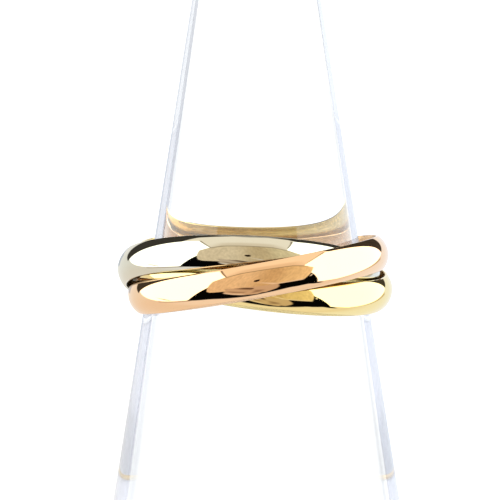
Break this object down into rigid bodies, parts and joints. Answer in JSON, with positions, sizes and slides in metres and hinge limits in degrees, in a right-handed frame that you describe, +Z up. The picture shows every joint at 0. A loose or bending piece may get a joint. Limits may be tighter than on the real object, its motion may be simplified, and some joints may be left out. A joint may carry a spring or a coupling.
{
  "type": "rolling ring of three bands on a clear cone ring stand",
  "caption": "Three interlocked round bands of white, rose and yellow gold that roll over each other, seated on a solid clear cone that stands on its foot.",
  "frame": {"origin": "middle of the cone's foot, on the surface that it stands on", "axes": "+Z up along the cone and the finger hole, the front of the ring towards -Y"},
  "size_m": [0.0272, 0.0272, 0.0605],
  "materials": {
    "rose_gold": "polished outside, satin inside",
    "yellow_gold": "polished outside, satin inside",
    "white_gold": "polished outside, satin inside",
    "clear_acrylic": "clear and polished"
  },
  "bodies": {
    "stand": {"clear_cone": "clear_acrylic", "rose_band": "rose_gold"},
    "yellow": {"yellow_band": "yellow_gold"},
    "white": {"white_band": "white_gold"}
  },
  "joints": [
    {"name": "yellow_band_turn", "type": "hinge", "parent": "stand", "child": "yellow", "pos_m": [0.00045, 0.00071, 0.02993], "axis": [0.1262, -0.0646, 0.9899], "continuous": true},
    {"name": "white_band_turn", "type": "hinge", "parent": "stand", "child": "white", "pos_m": [-0.00061, 0.00043, 0.02999], "axis": [0.0432, 0.2466, 0.9681], "continuous": true}
  ]
}
